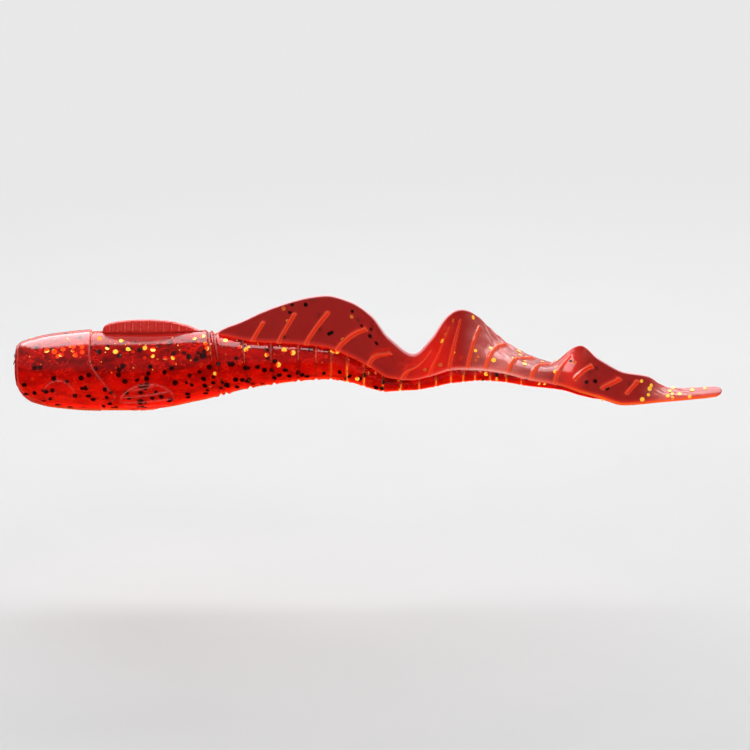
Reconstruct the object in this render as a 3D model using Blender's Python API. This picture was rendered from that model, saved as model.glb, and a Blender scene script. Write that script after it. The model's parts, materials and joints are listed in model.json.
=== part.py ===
"""Soft plastic worm: a ringed fishing lure whose tail carries one tall wavy ribbon fin.

Frame: the origin is the centre of the flat nose face, +X runs to the tail tip, +Z is up
(the side of the dorsal fin and the ribbon) and -Y is the worm's left side. Sizes are in
millimetres here and become metres when a mesh is made. The moulding is cut at its ring
grooves. Some grooves are flex lines: the pieces behind one hang on an empty on its axis.
"""

import math

import bpy

MM = 0.001
AROUND = 20            # points around a body section, a multiple of four
SLIT = 0.15            # half the width of the slit at a groove
SEAT_GAP = 0.35        # gap between the body and a fin or pad that sits on it
RING_DIP = 0.055       # how far a ring's ends sink into its grooves, as a share of its radius
HEAD_PROUD = 0.25      # how far the gill cover stands over the trunk

# Spine stations: X, centre height, half height, half width.
SPINE = (
    (0.0, 0.1, 3.9, 3.6),
    (0.4, 0.1, 4.5, 4.1),
    (1.3, 0.1, 4.95, 4.5),
    (3.0, -0.2, 5.7, 5.1),
    (7.0, -0.3, 6.65, 5.9),
    (13.5, -0.3, 7.15, 6.3),
    (21.0, -0.3, 7.2, 6.3),
    (27.0, 0.0, 6.95, 6.1),
    (33.0, 0.7, 6.4, 5.7),
    (38.0, 0.9, 5.3, 4.8),
    (42.5, 1.05, 4.35, 4.0),
    (47.0, 1.25, 3.85, 3.6),
    (52.0, 1.4, 3.4, 3.2),
    (56.0, 1.2, 3.0, 2.9),
    (60.0, 0.15, 2.5, 2.4),
    (64.0, -1.55, 2.05, 2.0),
    (67.0, -2.75, 1.4, 1.5),
    (71.0, -2.85, 1.05, 1.2),
    (75.0, -2.1, 1.2, 1.25),
    (78.5, -1.2, 1.35, 1.35),
    (83.0, -1.0, 1.1, 1.15),
    (87.0, -1.35, 0.95, 1.0),
    (92.0, -2.4, 0.72, 0.8),
    (98.0, -3.35, 0.5, 0.6),
    (101.5, -4.5, 0.4, 0.5),
    (105.0, -5.4, 0.3, 0.4),
    (109.3, -6.4, 0.0, 0.0),
    (115.7, -6.0, 0.0, 0.0),
    (123.2, -5.35, 0.0, 0.0),
    (127.0, -4.95, 0.0, 0.0),
)
HEAD_STATIONS = (0.0, 0.4, 1.3, 3.0, 5.0, 8.0, 11.0, 13.5)
GILL_X = 13.6          # where the gill cover ends on the back and sides
GILL_BEND_Z = 2.2      # below this height the gill cover's edge slants to the rear
GILL_SLANT = 0.78      # how far it slants, per millimetre down
GILL_DROP = 5.9        # the height over which it slants
TRUNK_END = 35.3
# The ring grooves behind the trunk, and the end of the tail root and of its rib.
GROOVES = (
    TRUNK_END, 40.9, 45.9, 50.9, 54.0, 56.7, 59.6, 62.6, 66.0, 69.2,
    72.5, 75.5, 78.2, 80.4, 82.5, 85.2, 88.1, 90.8,
)
TAIL_ROOT_END = 97.8
RIB_END = 105.0
TIP_START = 114.8
TIP_END = 127.0
# Flex lines: X, axis, largest swing in degrees each way. Y lifts the tail, Z swings it.
FLEX_LINES = (
    (TRUNK_END, "Z", 5.0),
    (40.9, "Y", 5.0),
    (45.9, "Z", 7.0),
    (50.9, "Y", 7.0),
    (56.7, "Z", 8.0),
    (62.6, "Y", 8.0),
    (69.2, "Z", 10.0),
    (75.5, "Y", 9.0),
    (82.5, "Z", 11.0),
    (88.1, "Y", 10.0),
    (TAIL_ROOT_END, "Z", 12.0),
    (RIB_END, "Y", 10.0),
    (TIP_START, "Z", 12.0),
)

RIBBON_START = 36.8
RIBBON_THICK_ROOT = 0.9
RIBBON_THICK_EDGE = 0.6
RIBBON_CURL = 0.3      # the share of the width in which the ribbon bends over to its lean
# Ribbon width: X, distance from root to edge along the ribbon.
RIBBON_WIDTH = (
    (36.8, 0.8), (40.4, 2.7), (44.7, 5.2), (49.0, 7.0), (53.2, 8.5), (56.5, 9.3),
    (61.0, 10.0), (66.0, 10.7), (75.0, 10.9), (80.4, 10.5), (92.0, 9.9), (101.5, 8.4),
    (105.0, 7.0), (109.5, 5.9), (113.3, 4.8), (116.4, 3.6), (118.5, 3.0), (125.0, 2.5),
    (127.0, 1.6),
)
# Ribbon lean: X, degrees away from upright, positive towards +Y.
RIBBON_LEAN = (
    (54.0, 0.0), (60.0, -4.0), (63.7, -19.0), (66.7, -40.0), (71.5, -60.0), (74.6, -46.0),
    (76.9, -22.0), (80.2, 14.0), (82.5, 38.0), (85.2, 64.0), (89.3, 84.0), (97.2, 94.0),
    (99.3, 70.0), (101.5, 30.0), (104.5, -7.0), (109.0, -4.0), (113.0, 12.0), (115.3, 50.0),
    (117.3, 67.0), (127.0, 68.0),
)

FIN_START = 15.8
FIN_END = 33.7
FIN_THICK_ROOT = 1.0
FIN_THICK_EDGE = 0.5
FIN_HINGE_Z = 7.2
# Dorsal fin: X, height above its root.
FIN_HEIGHT = ((15.8, 0.5), (18.0, 1.5), (23.0, 2.0), (27.0, 1.8), (31.0, 0.9), (33.7, 0.25))

PAD_EDGE = 0.25        # thickness of a pad at its edge
PAD_CROWN = 0.5        # extra thickness at its middle
# Pads: name, X of the middle, half length, angle of the middle from the top, half angle.
PADS = (
    ("pectoral_pad", 8.3, 3.0, 115.0, 24.0),
    ("pelvic_pad", 23.9, 5.0, 127.0, 31.0),
)


def clear_scene():
    for item in list(bpy.data.objects):
        bpy.data.objects.remove(item, do_unlink=True)


def eased(stations, x, column=1):
    """The value at x of a smooth curve through the stations that never overshoots them."""
    if x <= stations[0][0]:
        return stations[0][column]
    if x >= stations[-1][0]:
        return stations[-1][column]
    i = 0
    while stations[i + 1][0] < x:
        i += 1

    def rise(k):
        run = stations[k + 1][0] - stations[k][0]
        return (stations[k + 1][column] - stations[k][column]) / run

    def slope(k):
        if k == 0 or k == len(stations) - 1:
            return 0.0
        before, after = rise(k - 1), rise(k)
        if before * after <= 0.0:
            return 0.0
        return 2.0 * before * after / (before + after)

    run = stations[i + 1][0] - stations[i][0]
    t = (x - stations[i][0]) / run
    a, b = stations[i][column], stations[i + 1][column]
    step = 3.0 * t ** 2 - 2.0 * t ** 3
    ease_in = t * (1.0 - t) ** 2 * run * slope(i)
    ease_out = t ** 2 * (t - 1.0) * run * slope(i + 1)
    return a + (b - a) * step + ease_in + ease_out


def centre_z(x):
    return eased(SPINE, x, 1)


def body_point(x, angle, swell=1.0, proud=0.0):
    """(y, z) on the body's section at x. The angle is in radians from the top."""
    half_height = eased(SPINE, x, 2) * swell + proud
    half_width = eased(SPINE, x, 3) * swell + proud
    return half_width * math.sin(angle), centre_z(x) + half_height * math.cos(angle)


def ribbon_root_z(x):
    """The height of the ribbon's root: just above the spine, or the fin's own lower edge."""
    gap = SEAT_GAP if x < RIB_END else 0.0
    return centre_z(x) + eased(SPINE, x, 2) + gap


def ribbon_point(x, v):
    """(y, z) of the ribbon's mid surface, v = 0 at the root and 1 at the edge, and its lean there."""
    width = eased(RIBBON_WIDTH, x)
    lean = math.radians(eased(RIBBON_LEAN, x))
    curl = min(v, RIBBON_CURL)
    here = lean * curl / RIBBON_CURL
    if abs(lean) < 1e-6:
        return 0.0, ribbon_root_z(x) + width * v, 0.0
    bend = width * RIBBON_CURL / lean
    flat = width * (v - curl)
    y = bend * (1.0 - math.cos(here)) + flat * math.sin(lean)
    z = bend * math.sin(here) + flat * math.cos(lean)
    return y, ribbon_root_z(x) + z, here


class Slit:
    """A slit across the worm at one X. At a flex line its faces open like a V around the hinge."""

    def __init__(self, x, axis="", swing=0.0, gap=SLIT):
        self.x = x
        self.axis = axis
        self.spread = math.tan(math.radians(swing) / 2.0)
        self.gap = gap

    def face_x(self, side, y, z):
        """X of the slit's face at (y, z): side -1 is the front piece's, +1 the rear piece's."""
        arm = 0.0
        if self.axis == "Y":
            arm = abs(z - centre_z(self.x))
        if self.axis == "Z":
            arm = abs(y)
        return self.x + side * (self.gap + arm * self.spread)


class GillSlit(Slit):
    """The slit behind the gill cover: upright on the back, slanting to the rear below."""

    def face_x(self, side, y, z):
        slant = GILL_SLANT * max(0.0, min(GILL_BEND_Z - z, GILL_DROP))
        return self.x + slant + side * self.gap


def slit_at(x):
    """The slit at a groove, with the hinge's V where the groove is a flex line."""
    for flex_x, axis, swing in FLEX_LINES:
        if flex_x == x:
            return Slit(x, axis, swing)
    return Slit(x)


def principled(name, colour, roughness):
    material = bpy.data.materials.new(name)
    material.use_nodes = True
    shader = material.node_tree.nodes["Principled BSDF"]
    shader.inputs["Base Color"].default_value = (*colour, 1.0)
    shader.inputs["Roughness"].default_value = roughness
    shader.inputs["Metallic"].default_value = 0.0
    return material


def add_piece(name, points, faces, material, pivot):
    """One named object whose origin is its pivot. The points are in the worm's frame."""
    anchor, hub = pivot
    mesh = bpy.data.meshes.new(name)
    local = [[(p[k] - anchor[k]) * MM for k in range(3)] for p in points]
    mesh.from_pydata(local, [], faces)
    mesh.materials.append(material)
    mesh.shade_smooth()
    mesh.set_sharp_from_angle(angle=math.radians(50.0))
    item = bpy.data.objects.new(name, mesh)
    bpy.context.scene.collection.objects.link(item)
    item.parent = hub
    return item


def add_hub(name, place, parent):
    """An empty on a joint's axis, with its parent's place taken off its own."""
    anchor, hub = parent
    empty = bpy.data.objects.new(name, None)
    bpy.context.scene.collection.objects.link(empty)
    empty.parent = hub
    empty.location = [(place[k] - anchor[k]) * MM for k in range(3)]
    return place, empty


def loft(rows, cap_centres):
    """Points and faces of a tube through rows of AROUND points, capped by a fan at each end."""
    points = [p for row in rows for p in row]
    first = len(points)
    points += cap_centres
    faces = []
    for r in range(len(rows) - 1):
        for k in range(AROUND):
            a = r * AROUND + k
            b = r * AROUND + (k + 1) % AROUND
            faces.append((a, a + AROUND, b + AROUND, b))
    last = (len(rows) - 1) * AROUND
    for k in range(AROUND):
        after = (k + 1) % AROUND
        faces.append((first, k, after))
        faces.append((first + 1, last + after, last + k))
    return points, faces


def body_length(stations, front, rear, dip=0.0, proud=0.0):
    """A length of the round body between two slits, through sections at the given stations.

    dip is how far both ends sink in, as a share of the radius. proud is how far the rear end
    stands out.
    """
    x0, x1 = stations[0], stations[-1]

    def place(x, y, z):
        u = (x - x0) / (x1 - x0)
        ahead = front.face_x(1, y, z)
        behind = rear.face_x(-1, y, z)
        return ahead + (behind - ahead) * u, y, z

    rows = []
    for x in stations:
        u = (x - x0) / (x1 - x0)
        row = []
        swell = 1.0 - dip * abs(2.0 * u - 1.0) ** 3
        for k in range(AROUND):
            angle = 2.0 * math.pi * k / AROUND
            y, z = body_point(x, angle, swell, proud * u ** 3)
            row.append(place(x, y, z))
        rows.append(row)
    caps = [place(x0, 0.0, centre_z(x0)), place(x1, 0.0, centre_z(x1))]
    return loft(rows, caps)


def sheet(columns, rows, point):
    """A closed plate: point(i, j, side) gives each corner of a columns x rows grid on both sides."""
    points = []
    for side in (1, -1):
        for i in range(columns):
            for j in range(rows):
                points.append(point(i / (columns - 1), j / (rows - 1), side))
    back = columns * rows

    def at(i, j):
        return i * rows + j

    faces = []
    for i in range(columns - 1):
        for j in range(rows - 1):
            a, b, c, d = at(i, j), at(i + 1, j), at(i + 1, j + 1), at(i, j + 1)
            faces.append((a, d, c, b))
            faces.append((back + a, back + b, back + c, back + d))
    for i in range(columns - 1):
        low, low2 = at(i, 0), at(i + 1, 0)
        top, top2 = at(i, rows - 1), at(i + 1, rows - 1)
        faces.append((low, low2, back + low2, back + low))
        faces.append((top, back + top, back + top2, top2))
    for j in range(rows - 1):
        near, near2 = at(0, j), at(0, j + 1)
        far, far2 = at(columns - 1, j), at(columns - 1, j + 1)
        faces.append((near, back + near, back + near2, near2))
        faces.append((far, far2, back + far2, back + far))
    return points, faces


def make_head(root, material):
    shape = body_length(HEAD_STATIONS, Slit(0.0, gap=0.0), GillSlit(GILL_X), proud=HEAD_PROUD)
    add_piece("head", *shape, material, root)


def make_trunk(root, material):
    stations = [GILL_X + (TRUNK_END - GILL_X) * i / 7 for i in range(8)]
    add_piece("trunk", *body_length(stations, GillSlit(GILL_X), slit_at(TRUNK_END)), material, root)


def make_pad(name, side, middle, half_length, angle, half_angle, root, material):
    """An oval raised pad that follows the body's side: a domed outer face over a hugging inner one."""
    spokes, rings = 14, 3

    def point(r, k, offset):
        turn = 2.0 * math.pi * k / spokes
        x = middle + half_length * r * math.cos(turn)
        around = math.radians(angle + half_angle * r * math.sin(turn))
        y, z = body_point(x, around, proud=offset)
        return x, side * y, z

    points = [point(0.0, 0, SEAT_GAP + PAD_EDGE + PAD_CROWN), point(0.0, 0, SEAT_GAP)]
    for outer in (True, False):
        for ring in range(1, rings + 1):
            r = ring / rings
            dome = PAD_EDGE + PAD_CROWN * (1.0 - r ** 2) if outer else 0.0
            points += [point(r, k, SEAT_GAP + dome) for k in range(spokes)]

    def at(outer, ring, k):
        return 2 + (0 if outer else rings * spokes) + (ring - 1) * spokes + k % spokes

    faces = []
    for k in range(spokes):
        faces.append((0, at(True, 1, k), at(True, 1, k + 1)))
        faces.append((1, at(False, 1, k + 1), at(False, 1, k)))
        for ring in range(1, rings):
            a, b = at(True, ring, k), at(True, ring, k + 1)
            faces.append((a, a + spokes, b + spokes, b))
            c, d = at(False, ring, k), at(False, ring, k + 1)
            faces.append((c, d, d + spokes, c + spokes))
        rim, rim2 = at(True, rings, k), at(True, rings, k + 1)
        under, under2 = at(False, rings, k), at(False, rings, k + 1)
        faces.append((rim, under, under2, rim2))
    if side < 0:
        faces = [face[::-1] for face in faces]
    add_piece(name, points, faces, material, root)


def make_dorsal_fin(root, material):
    """A low blunt-fronted fin on the trunk's back, hinged along its root."""
    hinge = ((FIN_START + FIN_END) / 2.0, 0.0, FIN_HINGE_Z)
    pivot = add_hub("dorsal_fin_axis", hinge, root)

    def point(u, v, side):
        x = FIN_START + (FIN_END - FIN_START) * u
        base = centre_z(x) + eased(SPINE, x, 2) + SEAT_GAP
        thick = FIN_THICK_ROOT + (FIN_THICK_EDGE - FIN_THICK_ROOT) * v
        return x, side * thick / 2.0, base + eased(FIN_HEIGHT, x) * v

    add_piece("dorsal_fin", *sheet(13, 3, point), material, pivot)


def make_ring(name, x0, x1, pivot, material):
    """One body ring: its middle swells and its ends sink into the grooves."""
    stations = [x0 + (x1 - x0) * u for u in (0.0, 0.25, 0.5, 0.75, 1.0)]
    shape = body_length(stations, slit_at(x0), slit_at(x1), dip=RING_DIP)
    add_piece(name, *shape, material, pivot)


def make_plain_length(name, x0, x1, pivot, material):
    stations = [x0 + (x1 - x0) * u for u in (0.0, 0.33, 0.67, 1.0)]
    add_piece(name, *body_length(stations, slit_at(x0), slit_at(x1)), material, pivot)


def make_ribbon_panel(name, x0, x1, pivot, material):
    """One length of the ribbon between two flex lines, thinner towards its edge."""
    front, rear = slit_at(x0), slit_at(x1)

    def point(u, v, side):
        x = x0 + (x1 - x0) * u
        y, z, lean = ribbon_point(x, v)
        thick = RIBBON_THICK_ROOT + (RIBBON_THICK_EDGE - RIBBON_THICK_ROOT) * v
        y += side * thick / 2.0 * math.cos(lean)
        z -= side * thick / 2.0 * math.sin(lean)
        ahead = front.face_x(1, y, z)
        behind = rear.face_x(-1, y, z)
        return ahead + (behind - ahead) * u, y, z

    columns = 4 + int((x1 - x0) / 1.6)
    add_piece(name, *sheet(columns, 5, point), material, pivot)


def make_chain(root, materials):
    """Everything behind the trunk. Each flex line starts a new hub that hangs on the one before."""
    starts = [line[0] for line in FLEX_LINES]
    ends = starts[1:] + [TIP_END]
    pivot = root
    rings = list(zip(GROOVES[:-1], GROOVES[1:]))
    for number, (x0, x1) in enumerate(zip(starts, ends), 1):
        pivot = add_hub(f"flex_line_{number:02d}", (x0, 0.0, centre_z(x0)), pivot)
        for index, (a, b) in enumerate(rings, 1):
            if x0 <= a < x1:
                make_ring(f"ring_{index:02d}", a, b, pivot, materials["ring"])
        if x1 == TAIL_ROOT_END:
            make_plain_length("tail_root", GROOVES[-1], x1, pivot, materials["ring"])
        if x1 == RIB_END:
            make_plain_length("tail_rib", x0, x1, pivot, materials["ring"])
        start = max(x0, RIBBON_START)
        name = "tail_tip" if x1 == TIP_END else f"ribbon_panel_{number:02d}"
        make_ribbon_panel(name, start, x1, pivot, materials["ribbon"])


def make_worm():
    clear_scene()
    materials = {
        "head": principled("head_plastic", (0.30, 0.010, 0.008), 0.22),
        "ring": principled("ring_plastic", (0.42, 0.012, 0.008), 0.20),
        "ribbon": principled("ribbon_plastic", (0.62, 0.060, 0.040), 0.18),
        "fin": principled("fin_plastic", (0.52, 0.030, 0.018), 0.20),
        "pad": principled("pad_plastic", (0.60, 0.030, 0.012), 0.20),
    }
    root = add_hub("worm", (0.0, 0.0, 0.0), ((0.0, 0.0, 0.0), None))
    make_head(root, materials["head"])
    make_trunk(root, materials["head"])
    for name, middle, half_length, angle, half_angle in PADS:
        for side, word in ((-1, "left"), (1, "right")):
            make_pad(f"{name}_{word}", side, middle, half_length, angle, half_angle, root, materials["pad"])
    make_dorsal_fin(root, materials["fin"])
    make_chain(root, materials)


make_worm()
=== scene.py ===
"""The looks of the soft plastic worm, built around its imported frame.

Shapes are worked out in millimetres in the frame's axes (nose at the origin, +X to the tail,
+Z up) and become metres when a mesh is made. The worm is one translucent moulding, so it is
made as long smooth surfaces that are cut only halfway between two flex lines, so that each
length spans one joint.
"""

import json
import math

import bpy
import numpy as np
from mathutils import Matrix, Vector

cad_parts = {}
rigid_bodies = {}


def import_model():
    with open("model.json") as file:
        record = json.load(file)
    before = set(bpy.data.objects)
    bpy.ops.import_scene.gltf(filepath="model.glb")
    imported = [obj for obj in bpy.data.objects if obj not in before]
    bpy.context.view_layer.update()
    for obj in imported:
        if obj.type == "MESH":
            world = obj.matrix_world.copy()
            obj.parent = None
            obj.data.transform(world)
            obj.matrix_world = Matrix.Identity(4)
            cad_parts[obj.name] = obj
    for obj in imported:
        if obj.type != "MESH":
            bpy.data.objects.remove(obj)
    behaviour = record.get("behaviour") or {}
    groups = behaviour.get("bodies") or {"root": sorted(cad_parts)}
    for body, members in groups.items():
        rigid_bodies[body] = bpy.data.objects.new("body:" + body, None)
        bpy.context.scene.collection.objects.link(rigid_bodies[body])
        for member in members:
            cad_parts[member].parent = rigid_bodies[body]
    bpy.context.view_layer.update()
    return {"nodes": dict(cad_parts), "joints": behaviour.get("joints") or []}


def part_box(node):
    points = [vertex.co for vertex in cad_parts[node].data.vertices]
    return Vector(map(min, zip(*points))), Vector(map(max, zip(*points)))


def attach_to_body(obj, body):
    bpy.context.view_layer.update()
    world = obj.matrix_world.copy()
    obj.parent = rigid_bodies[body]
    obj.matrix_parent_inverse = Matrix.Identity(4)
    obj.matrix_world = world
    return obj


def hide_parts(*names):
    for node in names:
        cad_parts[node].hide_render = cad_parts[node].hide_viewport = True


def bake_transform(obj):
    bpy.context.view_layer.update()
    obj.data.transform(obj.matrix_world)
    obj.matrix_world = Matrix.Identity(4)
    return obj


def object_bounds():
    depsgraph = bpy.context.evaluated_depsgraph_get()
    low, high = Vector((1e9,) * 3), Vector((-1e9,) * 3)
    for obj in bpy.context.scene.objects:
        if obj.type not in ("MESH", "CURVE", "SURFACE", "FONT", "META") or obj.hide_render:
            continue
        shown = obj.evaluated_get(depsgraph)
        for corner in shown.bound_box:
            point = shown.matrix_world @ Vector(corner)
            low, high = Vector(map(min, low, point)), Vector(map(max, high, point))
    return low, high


MM = 0.001
SEED = 11

# Spine stations: X, centre height, half height, half width.
SPINE = (
    (0.35, 0.6, 3.6, 3.35), (0.95, 0.35, 4.45, 4.05), (1.9, 0.0, 5.2, 4.7), (3.2, -0.2, 5.8, 5.2),
    (7.0, -0.3, 6.65, 5.9),
    (13.5, -0.3, 7.15, 6.3), (21.0, -0.3, 7.2, 6.3), (27.0, 0.0, 6.95, 6.1), (33.0, 0.7, 6.4, 5.7),
    (38.0, 0.9, 5.3, 4.8), (42.5, 1.05, 4.35, 4.0), (47.0, 1.25, 3.85, 3.6), (52.0, 1.4, 3.4, 3.2),
    (56.0, 1.2, 3.0, 2.9), (60.0, 0.15, 2.5, 2.4), (64.0, -1.55, 2.05, 2.0), (67.0, -2.75, 1.4, 1.5),
    (71.0, -2.85, 1.05, 1.2), (75.0, -2.1, 1.2, 1.25), (78.5, -1.2, 1.35, 1.35),
    (83.0, -1.0, 1.1, 1.15), (87.0, -1.35, 0.95, 1.0), (92.0, -2.4, 0.72, 0.8),
    (98.0, -3.35, 0.5, 0.6), (101.5, -4.5, 0.4, 0.5), (105.0, -5.4, 0.3, 0.4),
    (109.3, -6.4, 0.0, 0.0), (115.7, -6.0, 0.0, 0.0), (123.2, -5.35, 0.0, 0.0),
    (127.0, -4.95, 0.0, 0.0),
)
SPINE_START = 0.35
SPINE_END = 107.0
NOSE_DOME = 0.35       # how far the middle of the nose face bulges forward
NOSE_SHARES = (0.01, 0.15, 0.3, 0.45, 0.6, 0.72, 0.82, 0.9, 0.96)  # radii of the nose face's rows
SKIN_SPACING = 0.22    # between the skin's rows
SKIN_AROUND = 176      # points in each of its rows
CORE_SPACING = 0.8
CORE_AROUND = 48
CORE_INSET = 0.11      # the clear layer's depth as a share of the section
CORE_SHORT = 3.0       # how much sooner than the skin the core ends
END_TAPER = 3.5        # how far before its end the skin starts to draw in
END_SHARE = 0.05       # how wide its end is, as a share of the section there

RIBBON_START = 36.4
TIP_END = 126.9
RIBBON_SPACING = 0.18
# Ribbon width: X, millimetres from root to edge.
RIBBON_WIDTH = (
    (36.4, 0.3), (36.8, 0.8), (40.4, 3.1), (44.7, 5.6), (49.0, 7.4), (53.2, 8.8), (56.5, 9.65),
    (61.0, 10.3), (66.0, 10.9), (75.0, 11.0), (80.4, 10.55), (92.0, 10.0), (101.5, 8.5), (105.0, 7.0),
    (109.5, 5.9), (113.3, 4.8), (116.4, 3.6), (118.5, 3.0), (125.0, 2.5), (127.0, 2.3),
)
# Ribbon lean: X, degrees from upright, positive towards +Y.
RIBBON_LEAN = (
    (54.0, 0.0), (60.0, -4.0), (63.7, -19.0), (66.7, -40.0), (71.5, -60.0), (74.6, -46.0),
    (76.9, -22.0), (80.2, 14.0), (82.5, 38.0), (85.2, 64.0), (89.3, 84.0), (97.2, 94.0),
    (98.6, 80.0), (100.5, 51.0), (102.5, 14.0), (104.5, -7.0), (109.0, -4.0), (113.0, 12.0),
    (115.3, 50.0), (117.3, 67.0), (127.0, 68.0),
)
# Where the last fold runs aslant: X, how much further back the root's lean is read.
RIBBON_SKEW = ((86.0, 0.0), (92.0, 3.0), (97.0, 3.4), (102.5, 0.0), (110.0, 0.0))
RIBBON_CURL = 0.3      # the share of the width in which the ribbon bends over to its lean
RIBBON_HALF = 0.36     # about half the ribbon's thickness
TIP_ROUND = 1.3        # how far the rounding of the tail tip reaches
# Moulded rays in the ribbon: X at the root, X at the end, start and end as shares of the width.
RAYS = (
    (42.7, 44.5, 0.02, 0.62), (47.4, 50.1, 0.02, 0.67), (52.3, 56.1, 0.02, 0.66),
    (57.9, 62.9, 0.02, 0.66), (63.5, 67.3, 0.02, 0.65), (69.6, 74.4, 0.02, 0.70),
    (74.4, 77.7, 0.02, 0.76), (77.9, 79.8, 0.02, 0.80), (81.2, 83.4, 0.02, 0.78),
    (84.4, 88.0, 0.02, 0.78), (88.4, 93.0, 0.02, 0.78), (92.6, 97.0, 0.02, 0.78),
    (96.9, 99.6, 0.02, 0.74), (100.4, 103.4, 0.20, 0.68), (105.3, 108.3, 0.27, 0.74),
    (109.8, 111.6, 0.36, 0.74),
)
RAY_RADIUS = 0.37

# Ring grooves, the gill cover's edge (see gill_line) and the side pads.
GROOVES = (
    34.9, 35.9, 40.9, 45.9, 50.9, 54.0, 56.7, 59.6, 62.6, 66.0, 69.2, 72.5, 75.5, 78.2,
    80.4, 82.5, 85.2, 88.1, 90.8,
)
GILL_X = 13.7
GILL_BEND_Z = 2.4
GILL_SLANT = 0.78
GILL_DROP = 5.9
PADS = (
    # X of the middle, half length, angle of the middle from the top, half angle, rays
    (8.3, 3.0, 115.0, 24.0, 0),
    (23.9, 5.0, 127.0, 31.0, 5),
)

FIN_START, FIN_END = 15.8, 33.7
FIN_HEIGHT = (
    (15.8, 0.2), (16.0, 0.8), (16.5, 1.35), (17.3, 1.7), (19.0, 2.05), (23.0, 2.3), (27.0, 2.1),
    (31.0, 1.05), (33.7, 0.1),
)
FIN_RAYS = 13
FIN_COLUMNS = 260
FIN_HALF = 0.40        # half the fin's thickness near its rim
FIN_FOOT = 1.25        # how much thicker its foot is than its rim, on each side
FIN_SUNK = 0.7         # how far its foot is sunk into the back
UNDER_FIN = 0.93       # the foot swings where the cosine of the angle from the top is more
FLAKE = 1.05           # glitter flake, across its corners
FLAKE_HALF = 0.02      # half its thickness

CAMERA_ELEVATION = 15.0  # degrees
CAMERA_DISTANCE = 0.80   # metres
VIEW_WIDTH = 0.1345      # metres across the picture at the worm
VIEW_SHIFT = 0.0012      # metres from the worm's middle to the picture's middle
VIEW_Z = -0.0011         # metres, the height of the picture's middle
SENSOR = 36.0
TAIL_REACH = 38.5        # how far below the belly the tail comes at its lowest
PALE = (0.81, 0.81, 0.81)

# Lengths listed to have their bend worked out from their rear body; attach bakes them in place like
# the others. From the front one, rounding in the body matrices throws these lengths off when all the
# joints are at their limits.
BENT_FROM_REAR = (6, 8)


# ---------------------------------------------------------------- curves and shape helpers

def curve(stations, column=1):
    """A smooth curve through the stations that never overshoots them, as a function of X."""
    xs = np.array([s[0] for s in stations], float)
    ys = np.array([s[column] for s in stations], float)
    rise = np.diff(ys) / np.diff(xs)
    slope = np.zeros(len(xs))
    same = rise[:-1] * rise[1:] > 0
    slope[1:-1][same] = 2 * rise[:-1][same] * rise[1:][same] / (rise[:-1] + rise[1:])[same]

    def at(x):
        x = np.clip(np.asarray(x, float), xs[0], xs[-1])
        i = np.clip(np.searchsorted(xs, x, side="right") - 1, 0, len(xs) - 2)
        run = xs[i + 1] - xs[i]
        t = (x - xs[i]) / run
        step = 3 * t**2 - 2 * t**3
        lead = t * (1 - t) ** 2 * run * slope[i] + t**2 * (t - 1) * run * slope[i + 1]
        return ys[i] + (ys[i + 1] - ys[i]) * step + lead

    return at


spine_z = curve(SPINE, 1)
spine_high = curve(SPINE, 2)
spine_wide = curve(SPINE, 3)
ribbon_width = curve(RIBBON_WIDTH)
ribbon_lean = curve(RIBBON_LEAN)
ribbon_skew = curve(RIBBON_SKEW)
fin_height = curve(FIN_HEIGHT)


def bell(distance, width):
    """1 where the distance is 0, falling off smoothly with the width."""
    return np.exp(-((distance / width) ** 2))


def step(value, low, high):
    """0 below low, 1 above high, eased between."""
    t = np.clip((value - low) / (high - low), 0, 1)
    return t * t * (3 - 2 * t)


def ripple(x, a, seed, scale):
    """Soft uneven lumps about 1 high, from a few sine waves with seeded directions."""
    draw = np.random.default_rng(seed)
    total = np.zeros(np.broadcast(x, a).shape)
    for _ in range(7):
        along, around = draw.uniform(0.4, 1.6), int(draw.integers(1, 5))
        phase = draw.uniform(0, 2 * math.pi)
        total = total + np.sin(x * along / scale + around * a + phase)
    return total / 7


# ---------------------------------------------------------------- mesh helpers

def grid_faces(rows, columns):
    """Quads of a rows x columns grid, joined round its columns."""
    i, j = np.meshgrid(np.arange(rows - 1), np.arange(columns), indexing="ij")
    after = (j + 1) % columns
    quads = np.stack([i * columns + j, (i + 1) * columns + j,
                      (i + 1) * columns + after, i * columns + after], -1)
    return quads.reshape(-1, 4)


def end_caps(part, rows, columns):
    """Faces that close a wrapped surface's first and last rows, where this part has them."""
    caps = []
    if part.start == 0:
        caps.append(list(range(columns)))
    if part.stop == rows:
        first = (part.stop - part.start - 1) * columns
        caps.append([first + k for k in range(columns)][::-1])
    return caps


def grid_normals(points):
    """Unit normals at the points of a wrapped grid: along its rows cross round its columns."""
    along = np.gradient(points, axis=0)
    around = np.roll(points, -1, axis=1) - np.roll(points, 1, axis=1)
    normal = np.cross(along, around)
    return normal / np.maximum(np.linalg.norm(normal, axis=-1, keepdims=True), 1e-12)


def both_sides(v_side):
    """A loop up one face of a sheet and down the other: its v, and the side, 0 at foot and rim."""
    side = np.concatenate([np.ones(len(v_side)), -np.ones(len(v_side) - 2)])
    side[0] = 0.0
    side[len(v_side) - 1] = 0.0
    return np.concatenate([v_side, v_side[-2:0:-1]]), side


def make_mesh(name, points, faces, normals=None, fields=None):
    """An object from points in millimetres. fields are named numbers kept on its points."""
    mesh = bpy.data.meshes.new(name)
    mesh.from_pydata((points * MM).tolist(), [], faces)
    for field, values in (fields or {}).items():
        layer = mesh.attributes.new(field, "FLOAT", "POINT")
        layer.data.foreach_set("value", np.asarray(values, np.float32))
    mesh.shade_smooth()
    if normals is not None:
        mesh.normals_split_custom_set_from_vertices(normals.tolist())
    item = bpy.data.objects.new(name, mesh)
    bpy.context.scene.collection.objects.link(item)
    return item


# ---------------------------------------------------------------- where the worm is cut

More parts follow.
